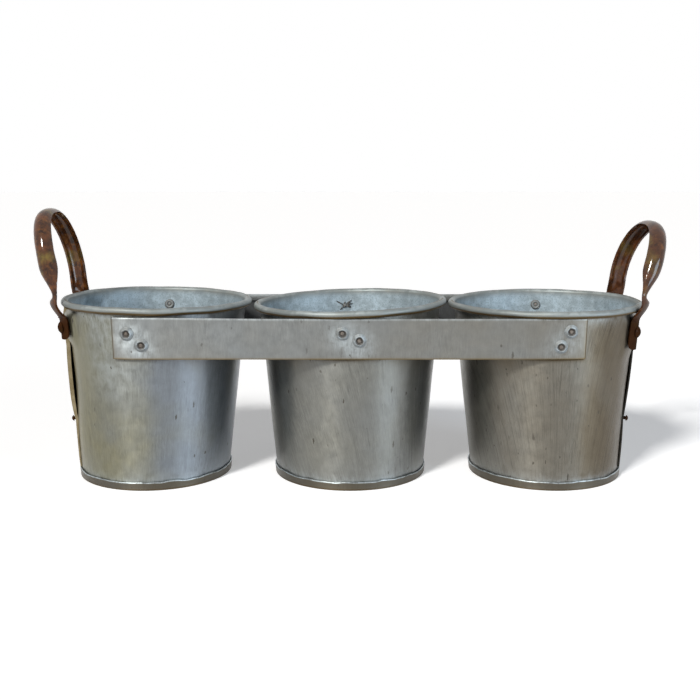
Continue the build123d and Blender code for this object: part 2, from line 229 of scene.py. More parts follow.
def wall_marks(pot):
    """Painted shade under bead and strap, rubbed near bead and base, warmer to the row's ends partly as
    painted light.
    """

    def marks(turn, height, face):
        side = cos(turn)
        if face == "inside":
            # Painted shade: a dark line on the inside just under the bead.
            return (0.0, 0.6 * exp(-max(ring_height - height, 0) / inner_crease_shade_reach), 0.0)
        if face == "outside":
            depth = max(bead_foot - height, 0)
            foot = max(height - chime_top, 0)
            wear_and_highlight = max(0.75 * exp(-depth / wear_reach), 0.5 * exp(-foot / wear_reach))
            # Painted highlight: a bright patch on the left pot's upper front left.
            if pot == "left" and sin(turn) < 0:
                wear_and_highlight += 0.4 * exp(-((side + 0.36) / 0.26) ** 2) * smooth(height, 0.052, 0.088)
            # Partly painted light: warm and cool sides paint the lamps' colours, the right pot's dark side
            # their fall-off.
            facing = smooth(-sin(turn), -0.1, 0.35)
            tones_and_light = {
                "left": (0.42 + 0.58 * max(-side, 0) * facing) * (1 - smooth(side, 0.0, 0.3)),
                "middle": 0.5,
                "right": 0.35 * smooth(side, -0.9, -0.6) + 0.65 * smooth(side, 0.15, 0.42) * facing,
            }
            # Painted shadow of the strap: brown, longer at the sides where it stands off, and a black line
            # under its foot.
            below = strap_foot - height
            stain_and_shade = 0.5 * smooth(abs(side), 0.2, 0.6) * exp(-abs(below) / strap_shadow_reach)
            stain_and_shade = max(stain_and_shade, 1.3 * exp(-abs(below - 0.0004) / shadow_line_reach))
            covered = {
                "left": smooth(side, -0.3, -0.25),
                "middle": 1.0,
                "right": smooth(-side, -0.28, -0.23),
            }
            stain_and_shade *= covered[pot] * smooth(-sin(turn), 0.1, 0.35)
            # Painted shade: near black in the crease just under the bead.
            return (wear_and_highlight, max(1.2 * exp(-depth / crease_shade_reach), stain_and_shade), tones_and_light[pot])
        lift = (height - ring_height) / curl_outside
        patch = noise.noise(Vector((5 * cos(turn), 5 * sin(turn), sheet_seed[pot])))
        # Painted shade: a dark patchy line along the bead's crest.
        crest = smooth(lift, 0.975, 0.995) * smooth(patch, -0.25, 0.2)
        shine = smooth(lift, -0.1, 0.6) * smooth(-patch, -0.35, 0.3)
        return (0.42 * shine, max(smooth(-lift, 0.05, 0.5), 0.8 * crest), 1.0)

    return marks


def wall_shift(pot):
    """Dents of under a millimetre, a side pushed in except at the handle's feet, and the rim's slant."""
    seed = sheet_seed[pot]

    def shift(turn, radius, height):
        round_x = 2.1 * cos(turn)
        round_y = 2.1 * sin(turn)
        dent = noise.noise(Vector((round_x, round_y, height * 24 + seed)))
        ripple = noise.noise(Vector((round_x * 4, round_y * 4, height * 60 + seed)))
        wave = noise.noise(Vector((round_x * 1.6, round_y * 1.6, seed + 5)))
        out = -dent_depth * (0.5 + 0.5 * dent) - ripple_depth * (1 + ripple)
        share = min(max(height / ring_height, 0), 1)
        if pot == "left":
            out -= side_push[pot] * smooth(share, 0.08, 0.65) * max(-cos(turn), 0) ** 5
        else:
            out -= side_push[pot] * sin(pi * share) ** 0.7 * max(cos(turn), 0) ** 3
        held = 0.0
        for foot in handle_feet[pot]:
            held = max(held, smooth(cos(turn - foot), cos(foot_fade), cos(foot_hold)))
        foot_end = handle_foot_ends[pot]
        held *= smooth(height, foot_end - foot_blend, foot_end) * (1 - smooth(height, *foot_release))
        out *= 1 - held
        slant = radius * cos(turn) * tan(rim_tilt[pot]) - radius * sin(turn) * tan(rim_nod[pot])
        up = smooth(height, *rim_bend) * (rim_lift[pot] + slant + rim_wave * wave)
        return out, up

    return shift


def lap_gape(pot, height):
    """How far the lap's free edge stands off at a height, held down by the rivet."""
    if height > lap_rivet_height:
        share = (height - lap_rivet_height) / (lap_hold_top - lap_rivet_height)
        return lap_gape_above[pot] * max(sin(pi * min(share, 1)), 0) ** 0.6
    share = height / lap_rivet_height
    return lap_gape_below[pot] * max(sin(pi * share), 0) ** 0.5


def lap_strip(pot, piece):
    """The lapped end of the sheet, as a thin bowed strip, joined to the pot's wall."""
    rows = 60
    columns = 8
    bottom = chime_top + lap_gap
    top = bead_foot - lap_gap
    shift = wall_shift(pot)
    shape = bmesh.new()
    shape.from_mesh(piece.data)
    places = shape.loops.layers.uv.verify()
    tone_and_light = shape.verts.layers.float["tone_and_light"]
    layers = []
    for outer_side in (False, True):
        grid = []
        layers.append(grid)
        for row in range(rows + 1):
            height = bottom + (top - bottom) * row / rows
            radius = wall_radius(height)
            line = []
            for column in range(columns + 1):
                share = column / columns
                turn = lap_edges[pot] + lap_ways[pot] * (1 - share) * lap_width / radius
                out, up = shift(turn, radius, height)
                lift = lap_gape(pot, height) * share * share
                thick = sheet * smooth(share, 0.0, 0.5)
                thick += (lap_hem[pot] - sheet) * share * share * smooth(height, *lap_hem_rise)
                off = radius + out + lift + (thick if outer_side else -lap_sunk)
                spot = (pot_axis[pot] + off * cos(turn), off * sin(turn), height + up)
                line.append(shape.verts.new(spot))
                line[-1][tone_and_light] = 0.5
            grid.append(line)
    inner, outer = layers
    quads = []
    for row in range(rows):
        for column in range(columns):
            for grid in layers:
                low, high = grid[row:row + 2]
                quads.append((low[column], low[column + 1], high[column + 1], high[column]))
        for column in (0, columns):
            low = (inner[row][column], outer[row][column])
            quads.append((*low, outer[row + 1][column], inner[row + 1][column]))
    for row in (0, rows):
        for column in range(columns):
            near = (inner[row][column], outer[row][column])
            quads.append((*near, outer[row][column + 1], inner[row][column + 1]))
    # Faces in the lap's shade get the black painted shade.
    for face in shape.faces:
        middle = face.calc_center_median()
        turn = atan2(middle.y, middle.x - pot_axis[pot])
        past = (lap_edges[pot] - turn + pi) % (2 * pi) - pi
        covered = 0.6 * lap_width / wall_radius(middle.z)
        in_shadow = -lap_shadow < -lap_ways[pot] * past < covered
        if face.material_index == 0 and in_shadow and bottom < middle.z < top:
            face.material_index = 3
    made = [shape.faces.new(quad) for quad in quads]
    under = {vertex for line in inner for vertex in line}
    flat = {vertex for line in outer for vertex in line[:columns - 2]}
    for face in made:
        if all(vertex in under for vertex in face.verts):
            face.material_index = 3
        elif pot != "right" and all(vertex in flat for vertex in face.verts):
            face.material_index = 0
        else:
            face.material_index = 2
        for loop in face.loops:
            spot = loop.vert.co
            loop[places].uv = (spot.y - spot.x + pot_axis[pot], 0.3 + spot.z)
    bmesh.ops.recalc_face_normals(shape, faces=made)
    shape.to_mesh(piece.data)
    shape.free()


def set_inputs(tree, node, sockets):
    """Sets a node's inputs, or links them where an output of another node is given."""
    for name, value in sockets.items():
        if isinstance(value, bpy.types.NodeSocket):
            tree.links.new(value, node.inputs[name])
        else:
            node.inputs[name].default_value = value


def add_node(tree, kind, sockets=None, **settings):
    made = tree.nodes.new(kind)
    for name, value in settings.items():
        setattr(made, name, value)
    set_inputs(tree, made, sockets or {})
    return made


def calc(tree, operation, first, second=0.0, third=0.0):
    sockets = {0: first, 1: second, 2: third}
    return add_node(tree, "ShaderNodeMath", sockets, operation=operation).outputs[0]


def spread(tree, value, low, high, to_low=0.0, to_high=1.0):
    """A value's range moved to another, held at its ends."""
    sockets = {"Value": value, 1: low, 2: high, 3: to_low, 4: to_high}
    return add_node(tree, "ShaderNodeMapRange", sockets, clamp=True).outputs[0]


def mix(tree, share, first, second, blend_type="MIX"):
    sockets = {0: share, 6: first, 7: second}
    return add_node(tree, "ShaderNodeMix", sockets, data_type="RGBA", blend_type=blend_type).outputs[2]


def cloud(tree, place, scale, detail=2.0, roughness=0.5, distortion=0.0):
    sockets = {"Vector": place, "Scale": scale, "Detail": detail, "Roughness": roughness}
    sockets["Distortion"] = distortion
    return add_node(tree, "ShaderNodeTexNoise", sockets).outputs["Fac"]


def effect_group(name, inputs, outputs):
    """An empty node group with its sockets, and the sockets of its two end nodes."""
    tree = bpy.data.node_groups.new(name, "ShaderNodeTree")
    for socket in inputs:
        kind = "NodeSocketVector" if socket == "Place" else "NodeSocketFloat"
        tree.interface.new_socket(socket, in_out="INPUT", socket_type=kind)
    for socket in outputs:
        tree.interface.new_socket(socket, in_out="OUTPUT", socket_type="NodeSocketFloat")
    return tree, tree.nodes.new("NodeGroupInput").outputs, tree.nodes.new("NodeGroupOutput").inputs


def use_group(tree, group, sockets):
    return add_node(tree, "ShaderNodeGroup", sockets, node_tree=group).outputs


def new_material(name):
    """An empty material with its node tree and its shader."""
    material = bpy.data.materials.new(name)
    material.use_nodes = True
    return material, material.node_tree, material.node_tree.nodes["Principled BSDF"]


# Brushed lines that run up the sheet and fan out towards its top, with a few thin grooves
brushed, given, gives = effect_group("brushed_lines", ("Place", "Fan", "Lean", "Seed"), ("Lines", "Grooves"))
parts = add_node(brushed, "ShaderNodeSeparateXYZ", {0: given["Place"]}).outputs
fanned = calc(brushed, "MULTIPLY_ADD", parts[1], given["Fan"], 1.0)
leant = calc(brushed, "MULTIPLY_ADD", parts[1], given["Lean"], parts[0])
across = calc(brushed, "MULTIPLY", leant, fanned)
line_layers = []
for fine, long in ((620, 85), (1400, 260), (210, 7)):
    line_place = add_node(brushed, "ShaderNodeCombineXYZ", {
        0: calc(brushed, "MULTIPLY", across, fine),
        1: calc(brushed, "MULTIPLY", parts[1], long),
        2: given["Seed"],
    }).outputs[0]
    line_layers.append(cloud(brushed, line_place, 1.0, 2.0, 0.6, 1.1))
both = calc(brushed, "ADD", line_layers[0], line_layers[1])
centred = calc(brushed, "SUBTRACT", calc(brushed, "MULTIPLY", both, 0.5), 0.5)
strength = spread(brushed, cloud(brushed, given["Place"], 26, 2.0), 0.35, 0.65, 0.35, 1.3)
brushed.links.new(calc(brushed, "MULTIPLY_ADD", centred, strength, 0.5), gives["Lines"])
ridge = calc(brushed, "ABSOLUTE", calc(brushed, "SUBTRACT", line_layers[2], 0.5))
grooves = calc(brushed, "MULTIPLY", spread(brushed, ridge, 0.0, 0.045, 1.0, 0.0), strength)
brushed.links.new(grooves, gives["Grooves"])

# Weathering of zinc: broad clouds, a finer mottle and a grain
weathering, given, gives = effect_group("zinc_weathering", ("Place", "Seed"), ("Cloud", "Mottle", "Grain"))
seeded = add_node(weathering, "ShaderNodeCombineXYZ", {2: given["Seed"]}).outputs[0]
moved = add_node(weathering, "ShaderNodeVectorMath", {0: given["Place"], 1: seeded}).outputs[0]
for socket, scale, detail in (("Cloud", 22, 3.0), ("Mottle", 150, 4.0), ("Grain", 900, 3.0)):
    weathering.links.new(cloud(weathering, moved, scale, detail, 0.55, 0.3), gives[socket])

# Dark pits and short scratches, in few of the cells that they are scattered over
pitting, given, gives = effect_group("pits_and_scratches", ("Place", "Seed", "Amount"), ("Mask",))
seeded = add_node(pitting, "ShaderNodeCombineXYZ", {0: given["Seed"], 1: given["Seed"]}).outputs[0]
moved = add_node(pitting, "ShaderNodeVectorMath", {0: given["Place"], 1: seeded}).outputs[0]
wander = add_node(pitting, "ShaderNodeTexNoise", {"Vector": moved, "Scale": 700.0}).outputs["Color"]
stirred = add_node(pitting, "ShaderNodeVectorMath", {0: wander, 1: (0.0016,) * 3}, operation="MULTIPLY")
moved = add_node(pitting, "ShaderNodeVectorMath", {0: moved, 1: stirred.outputs[0]}).outputs[0]
pit_layers = []
for squeeze, lean, scale, size in (((1, 0.6, 0), 0, 90, 0.085), ((1, 0.35, 0), 12, 75, 0.08)):
    turned = add_node(pitting, "ShaderNodeMapping", {
        "Vector": moved,
        "Rotation": (0, 0, radians(lean)),
        "Scale": squeeze,
    }).outputs[0]
    sockets = {"Vector": turned, "Scale": scale}
    cells = add_node(pitting, "ShaderNodeTexVoronoi", sockets, voronoi_dimensions="2D").outputs
    chance = add_node(pitting, "ShaderNodeSeparateColor", {0: cells["Color"]}).outputs
    chosen = calc(pitting, "LESS_THAN", chance[0], given["Amount"])
    size_here = spread(pitting, chance[1], 0.0, 1.0, 0.3 * size, size)
    from_middle = calc(pitting, "DIVIDE", cells["Distance"], size_here)
    shape_of_pit = calc(pitting, "MULTIPLY", chosen, spread(pitting, from_middle, 0.55, 1.0, 1.0, 0.0))
    depth_of_pit = spread(pitting, chance[2], 0.0, 1.0, 0.3, 0.95)
    pit_layers.append(calc(pitting, "MULTIPLY", shape_of_pit, depth_of_pit))
pitting.links.new(calc(pitting, "MAXIMUM", pit_layers[0], pit_layers[1]), gives["Mask"])

# Brown for stains, and for the strap's painted shadow on the walls.
brown_stain_and_shade = (0.085, 0.052, 0.014)
highlight_and_wear_zinc = (0.46, 0.51, 0.53, 1)
# Painted shade: black for the crease under the bead and the line under the strap.
painted_shade_black = (0.012, 0.01, 0.006, 1)
pit_brown = (0.07, 0.062, 0.05, 1)


def sheet_place(tree):
    return add_node(tree, "ShaderNodeUVMap", uv_map="sheet").outputs[0]


def weather_at(tree, place, seed):
    return use_group(tree, weathering, {"Place": place, "Seed": seed})


def point_marks(tree, *marks):
    """How rubbed, dirty or warm a piece's points are, partly as painted light and shade, as asked for."""
    return [add_node(tree, "ShaderNodeAttribute", attribute_name=mark).outputs["Fac"] for mark in marks]


def zinc_finish(
    name, seed, cool, warm, fan=0.0, lean=0.0, brush=0.08, groove=0.0, pits=0.2, brown=brown_stain_and_shade
):
    """Weathered zinc coating: brushed, clouded and pitted, rubbed bright and stained brown at its edges,
    with painted highlights and shade.
    """
    material, tree, shader = new_material(name)
    place = sheet_place(tree)
    wear_and_highlight, grime_and_shade, tone_and_light = point_marks(tree, "wear_and_highlight", "grime_and_shade", "tone_and_light")
    strokes = use_group(tree, brushed, {"Place": place, "Fan": fan, "Lean": lean, "Seed": seed})
    weather = weather_at(tree, place, seed)
    pit = use_group(tree, pitting, {"Place": place, "Seed": seed, "Amount": pits})["Mask"]
    drift = spread(tree, weather["Cloud"], 0.3, 0.7, -0.22, 0.22)
    colour = mix(tree, calc(tree, "ADD", tone_and_light, drift), (*cool, 1), (*warm, 1))
    shade = spread(tree, strokes["Lines"], 0.3, 0.7, 1 - brush, 1 + brush)
    shade = calc(tree, "MULTIPLY", shade, spread(tree, weather["Mottle"], 0.3, 0.7, 0.92, 1.08))
    shade = calc(tree, "MULTIPLY", shade, spread(tree, strokes["Grooves"], 0.0, 1.0, 1.0, 1 - groove))
    shade_colour = add_node(tree, "ShaderNodeCombineColor", {0: shade, 1: shade, 2: shade}).outputs[0]
    colour = mix(tree, 1.0, colour, shade_colour, "MULTIPLY")
    uneven = calc(tree, "ADD", weather["Mottle"], strokes["Lines"])
    wear_and_highlight_share = calc(tree, "MULTIPLY", wear_and_highlight, spread(tree, uneven, 0.72, 1.22))
    colour = mix(tree, wear_and_highlight_share, colour, highlight_and_wear_zinc)
    stain_and_shade = calc(tree, "MULTIPLY", grime_and_shade, spread(tree, weather["Cloud"], 0.25, 0.55, 0.6, 1.0))
    colour = mix(tree, stain_and_shade, colour, (*brown, 1))
    colour = mix(tree, spread(tree, grime_and_shade, 0.85, 1.0), colour, painted_shade_black)
    colour = mix(tree, pit, colour, pit_brown)
    rough = spread(tree, weather["Mottle"], 0.3, 0.7, 0.36, 0.48)
    grain_way = add_node(tree, "ShaderNodeTangent", direction_type="UV_MAP", uv_map="sheet")
    height = calc(tree, "MULTIPLY_ADD", strokes["Lines"], 0.5, calc(tree, "MULTIPLY", weather["Grain"], 0.2))
    height = calc(tree, "SUBTRACT", height, calc(tree, "MULTIPLY", pit, 0.8))
    height = calc(tree, "SUBTRACT", height, calc(tree, "MULTIPLY", strokes["Grooves"], groove))
    bump = add_node(tree, "ShaderNodeBump", {"Strength": 0.22, "Distance": 0.0004, "Height": height})
    set_inputs(tree, shader, {
        "Base Color": colour,
        "Roughness": calc(tree, "MULTIPLY_ADD", stain_and_shade, 0.2, rough),
        "Metallic": 0.85,
        "Specular IOR Level": 0.3,
        "Anisotropic": 0.75,
        "Anisotropic Rotation": 0.25,
        "Tangent": grain_way.outputs[0],
        "Normal": bump.outputs[0],
    })
    return material


# The insides have kept a duller coat with fine dark speckles; its bluish colour partly paints cool light
inner_zinc, inner_tree, inner_shader = new_material("inner_zinc")
inner_blues_and_light = ((0.372, 0.472, 0.55, 1), (0.45, 0.525, 0.565, 1))
bead_greys = ((0.2, 0.225, 0.23, 1), (0.25, 0.25, 0.225, 1))
inner_wear, inner_grime_and_shade, inner_tone = point_marks(inner_tree, "wear_and_highlight", "grime_and_shade", "tone_and_light")
inner_weather = weather_at(inner_tree, sheet_place(inner_tree), 5.0)
inner_colour = mix(inner_tree, inner_weather["Cloud"], *inner_blues_and_light)
inner_bead = mix(inner_tree, inner_weather["Cloud"], *bead_greys)
inner_colour = mix(inner_tree, inner_tone, inner_colour, inner_bead)
inner_mottle = spread(inner_tree, inner_weather["Mottle"], 0.4, 0.62, 0.45, 0.0)
inner_colour = mix(inner_tree, inner_mottle, inner_colour, (0.17, 0.2, 0.21, 1))
inner_speck = spread(inner_tree, inner_weather["Grain"], 0.52, 0.66, 0.0, 0.6)
inner_colour = mix(inner_tree, inner_speck, inner_colour, (0.17, 0.21, 0.22, 1))
inner_worn = calc(inner_tree, "MULTIPLY", inner_wear, spread(inner_tree, inner_weather["Mottle"], 0.4, 0.6))
inner_colour = mix(inner_tree, inner_worn, inner_colour, (0.4, 0.45, 0.46, 1))
inner_stain_and_shade = mix(inner_tree, inner_tone, (0.07, 0.075, 0.075, 1), (*brown_stain_and_shade, 1))
inner_colour = mix(inner_tree, inner_grime_and_shade, inner_colour, inner_stain_and_shade)
set_inputs(inner_tree, inner_shader, {
    "Base Color": inner_colour,
    "Roughness": spread(inner_tree, inner_weather["Mottle"], 0.3, 0.7, 0.42, 0.58),
    "Metallic": 0.4,
    "Specular IOR Level": 0.3,
})

# The laps' free ends: tan on the left pot, partly a painted highlight, and nearly black as painted shade on
# the right one and below both
crevice_shade, crevice_shade_tree, crevice_shade_shader = new_material("lap_crevice_shade")
crevice_shade_blacks = ((0.006, 0.005, 0.003, 1), (0.025, 0.02, 0.012, 1))
crevice_shade_weather = weather_at(crevice_shade_tree, sheet_place(crevice_shade_tree), 12.0)
set_inputs(crevice_shade_tree, crevice_shade_shader, {
    "Base Color": mix(crevice_shade_tree, crevice_shade_weather["Mottle"], *crevice_shade_blacks),
    "Roughness": 0.8,
    "Specular IOR Level": 0.05,
})
# Left tan is partly a painted highlight on the outer face; right near black is painted shade.
lap_stain_and_light_colours = {
    "left": ((0.25, 0.2, 0.115), (0.38, 0.32, 0.21)),
    "middle": ((0.16, 0.15, 0.12), (0.24, 0.23, 0.2)),
    "right": ((0.03, 0.026, 0.021), (0.065, 0.056, 0.045)),
}
wall_fans = {"left": 1.5, "middle": 3.0, "right": 12.0}
wall_leans = {"left": 0.0, "middle": -0.22, "right": 0.0}
wall_brush = {"left": 0.19, "middle": 0.2, "right": 0.2}
wall_grooves = {"left": 0.08, "middle": 0.14, "right": 0.24}
wall_pits = {"left": 0.2, "middle": 0.42, "right": 0.48}
# The right pot's dark warm colour and the left pot's bluer cool one partly paint the light.
cool_zinc = {"left": (0.197, 0.217, 0.237), "middle": (0.183, 0.189, 0.188), "right": (0.194, 0.186, 0.163)}
warm_zinc = {"left": (0.212, 0.196, 0.118), "middle": (0.205, 0.2, 0.17), "right": (0.122, 0.1, 0.07)}
wall_looks = (sheet_seed, cool_zinc, warm_zinc, wall_fans, wall_leans, wall_brush, wall_grooves, wall_pits)
for pot, axis in pot_axis.items():
    pot_wall = turned_piece(f"{pot}_pot_sheet", axis, wall_section(), wall_shift(pot), wall_marks(pot))
    lap_strip(pot, pot_wall)
    wall_zinc = zinc_finish(f"{pot}_wall_zinc", *[look[pot] for look in wall_looks])
    lap_finish, lap_tree, lap_shader = new_material(f"{pot}_lap_stain_and_light")
    lap_weather = weather_at(lap_tree, sheet_place(lap_tree), sheet_seed[pot])
    dark, light = lap_stain_and_light_colours[pot]
    lap_share = spread(lap_tree, lap_weather["Mottle"], 0.35, 0.65)
    set_inputs(lap_tree, lap_shader, {
        "Base Color": mix(lap_tree, lap_share, (*dark, 1), (*light, 1)),
        "Roughness": 0.6,
        "Specular IOR Level": 0.15,
    })
    for material in (wall_zinc, inner_zinc, lap_finish, crevice_shade):
        pot_wall.data.materials.append(material)
    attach(pot_wall, "root")
    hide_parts(f"{pot}_pot_wall")

# Rim wires
# A ring of drawn steel wire lies inside each curled rim and keeps it round.
# It follows the rim's slant and shows only from below, in the slit where the curl ends.
wire_finish, wire_tree, wire_shader = new_material("drawn_wire")
wire_play = 0.98
wire_steps = 15
wire_weather = weather_at(wire_tree, sheet_place(wire_tree), 9.0)
set_inputs(wire_tree, wire_shader, {
    "Base Color": mix(wire_tree, wire_weather["Mottle"], (0.2, 0.2, 0.19, 1), (0.34, 0.33, 0.3, 1)),
    "Roughness": spread(wire_tree, wire_weather["Grain"], 0.3, 0.7, 0.35, 0.55),
    "Metallic": 1.0,
})


def no_marks(turn, height, face):
    return (0.0, 0.0, 0.5)


for pot, axis in pot_axis.items():
    last_turn = 2 * pi * wire_steps / (wire_steps + 1)
    section = arc((ring_radius, ring_height), wire_radius * wire_play, 0, last_turn, wire_steps, "wire")
    rim_wire = turned_piece(f"{pot}_rim_ring", axis, section, wall_shift(pot), no_marks)
    rim_wire.data.materials.append(wire_finish)
    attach(rim_wire, "root")
    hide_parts(f"{pot}_rim_wire")

# Pot bases
# A disc of the same sheet closes each pot. Its edge is folded down, round the wall's foot and up
# outside it, which leaves a raised band with a slightly wavy lip.
fold_room = 0.0001
floor_under = 0.004
floor_over = floor_under + sheet
foot_round = 0.0006
lip_sunk = 0.0003
skirt_wave = 0.00022
lip_waves = (0.001, 0.0004)
cool_base = (0.112, 0.118, 0.119)
warm_base = (0.112, 0.106, 0.09)


def base_section():
    """A base's closed section: floor, leg down inside the wall, foot, skirt up outside it and lip."""
    inner = -sheet / cos(taper) - fold_room
    lip = sheet / 2
    lip_centre = (wall_radius(chime_top) + fold_room + lip - lip_sunk, chime_top - lip)
    foot_out = wall_radius(0) + fold_room + sheet
    foot_in = wall_radius(0) + inner - sheet
    leg_top = wall_radius(floor_under) + inner - sheet
    floor_edge = (wall_radius(floor_over) + inner, floor_over)
    return [
        (0, floor_under, "under"),
        *run((0, floor_under), (leg_top, floor_under), 8, "under"),
        (leg_top, floor_under, "under"),
        *arc((foot_in + foot_round, foot_round), foot_round, pi, 3 * pi / 2, 4, "under"),
        *arc((foot_out - foot_round, foot_round), foot_round, -pi / 2, 0, 4, "skirt"),
        *run((foot_out, foot_round), (lip_centre[0] + lip, lip_centre[1]), 10, "skirt"),
        *arc(lip_centre, lip, 0, pi, 8, "lip"),
        (wall_radius(sheet) + fold_room, sheet, "under"),
        (wall_radius(sheet) + inner, sheet, "under"),
        (*floor_edge, "inside"),
        *run(floor_edge, (0, floor_over), 12, "inside"),
        (0, floor_over, "inside"),
    ]


def base_marks(turn, height, face):
    # The lip's bright line is a painted highlight, marked as rubbing.
    if face == "lip":
        return (1.3, 0.0, 0.2)
    if face == "skirt":
        return (0.0, 0.3 + 0.5 * smooth(-height, -0.0016, -0.0003), 0.75)
    if face == "inside":
        return (0.0, 0.2, 0.0)
    return (0.0, 0.65, 0.75)


def base_shift(pot):
    """Waves of up to a millimetre up and down along the lip, and of a few tenths outwards."""
    seed = sheet_seed[pot] + 60

    def shift(turn, radius, height):
        skirt = smooth(height, 0.002, 0.0056) if radius > foot_radius else 0.0
        slow = noise.noise(Vector((3 * cos(turn), 3 * sin(turn), seed)))
        quick = noise.noise(Vector((9 * cos(turn), 9 * sin(turn), seed)))
        return skirt_wave * skirt * (1 + slow), skirt * (lip_waves[0] * slow + lip_waves[1] * quick)

    return shift


def weld(piece, distance):
    """Joins the points of a piece that lie on one spot."""
    shape = bmesh.new()
    shape.from_mesh(piece.data)
    bmesh.ops.remove_doubles(shape, verts=shape.verts, dist=distance)
    shape.to_mesh(piece.data)
    shape.free()


for pot, axis in pot_axis.items():
    pot_base = turned_piece(f"{pot}_pot_bottom", axis, base_section(), base_shift(pot), base_marks)
    weld(pot_base, 1e-7)
    base_zinc = zinc_finish(f"{pot}_base_zinc", sheet_seed[pot] + 2, cool_base, warm_base, pits=0.25)
    for material in (base_zinc, inner_zinc):
        pot_base.data.materials.append(material)
    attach(pot_base, "root")
    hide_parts(f"{pot}_pot_base")

# Straps
# A hemmed zinc-coated strap runs along the front and another along the back of the row.
# Each is bent round the end pots and drawn down against all three pots by blind rivets.
strap_height = 0.0265
strap_drop = 0.0003
strap_raise = 0.0009
strap_sheet = 0.001
strap_hem = 0.005
strap_fold = 0.0004
strap_rim_gap = 0.0002
strap_seat = 0.0001
strap_steps = 300
strap_face_steps = 26
strap_rear_steps = 8
strap_fold_steps = 8
strap_pull_drop = 0.002
strap_pull_spread = 0.00008
strap_ends = {"left": 0.017, "right": 0.016}
strap_end_lift = 0.0009
strap_edge_reach = 0.0007
strap_sink = (0.00018, 0.00016)
strap_wave = (0.00012, 0.00003)
strap_rise = 0.0002
cool_strap = (0.222, 0.235, 0.237)
warm_strap = (0.2, 0.187, 0.158)
strap_brown = (0.17, 0.1, 0.008)
strap_sides = {"front_strap": -1, "back_strap": 1}
strap_rivets = {
    "front_strap": (
        ("left", -0.007, 0.0042),
        ("left", 0.0024, -0.0036),
        ("middle", -0.0051, 0.0045),
        ("middle", 0.0062, -0.0005),
        ("right", 0.0053, 0.0056),
        ("right", -0.001, -0.0047),
    ),
    "back_strap": (
        ("left", -0.001, 0.0065),
        ("left", 0.006, -0.0025),
        ("middle", -0.0042, 0.0054),
        ("middle", 0.005, -0.0035),
        ("right", 0.005, 0.006),
        ("right", -0.004, -0.003),
    ),
}
strap_middle = bead_foot - strap_rim_gap - strap_height / 2 * cos(taper)
strap_radius = wall_radius(strap_middle)
strap_face = strap_seat + 2 * strap_sheet
pitch = pot_axis["right"]


def strap_spot(side, along, up, off):
    """A place on a strap: along it from the middle of the row, up from its middle line, off the wall."""
    radius = strap_radius + sin(taper) * up + cos(taper) * off
    height = strap_middle + cos(taper) * up - sin(taper) * off
    past = max(abs(along) - pitch, 0)
    turn = past / strap_radius
    end = 1 if along > 0 else -1
    straight = min(max(along, -pitch), pitch)
    return Vector((straight + end * radius * sin(turn), side * radius * cos(turn), height))


def strap_section():
    """The strap's closed section as places up and off, from the outer face round both pressed hems."""
    low = -strap_height / 2 - strap_drop
    high = strap_height / 2 + strap_raise
    web = strap_seat + strap_sheet
    folds = []
    for edge, way, face in ((high - strap_fold, 1, "top"), (low + strap_fold, -1, "foot")):
        for step in range(strap_fold_steps + 1):
            turn = pi * step / strap_fold_steps
            turn = turn if way > 0 else pi - turn
            folds.append((edge + way * strap_fold * sin(turn), web + strap_sheet * cos(turn), face))
    return [
        *run((low + strap_fold, strap_face), (high - strap_fold, strap_face), strap_face_steps, "face"),
        *folds[:strap_fold_steps + 1],
        (high - strap_hem, strap_seat, "rear"),
        (high - strap_hem, web, "rear"),
        *run((high - strap_hem, web), (low + strap_hem, web), strap_rear_steps, "rear"),
        (low + strap_hem, web, "rear"),
        (low + strap_hem, strap_seat, "rear"),
        *folds[strap_fold_steps + 1:],
    ]


def strap_marks(along, up, face, drawn, first, last):
    """Rubbed along the top with a painted highlight, rubbed round the rivets, brown along the bottom edge
    and at the ends.
    """
    near_end = exp(-min(along - first, last - along) / strap_edge_reach)
    low_edge = 0.84 * exp(-(up + strap_height / 2 + strap_drop) / strap_edge_reach)
    rubbed = min(0.85 * drawn, 0.85) * (1 - 0.5 * smooth(along, 0.08, 0.12))
    # The top fold is partly rubbed and partly given a painted highlight.
    wear_and_highlight = {"top": 0.6, "foot": 0.0, "rear": 0.0}.get(face, rubbed)
    grime_and_shade = {"foot": 0.65, "rear": 0.0, "top": 0.0}.get(face, max(low_edge, 0.6 * near_end))
    # Warmer and darker towards the right end, partly as painted fall-off of the light.
    tone_and_light = 0.25 + 0.35 * smooth(along, -0.02, 0.1) + 0.4 * smooth(along, pitch - 0.012, pitch + 0.008)
    return (wear_and_highlight, grime_and_shade, tone_and_light)


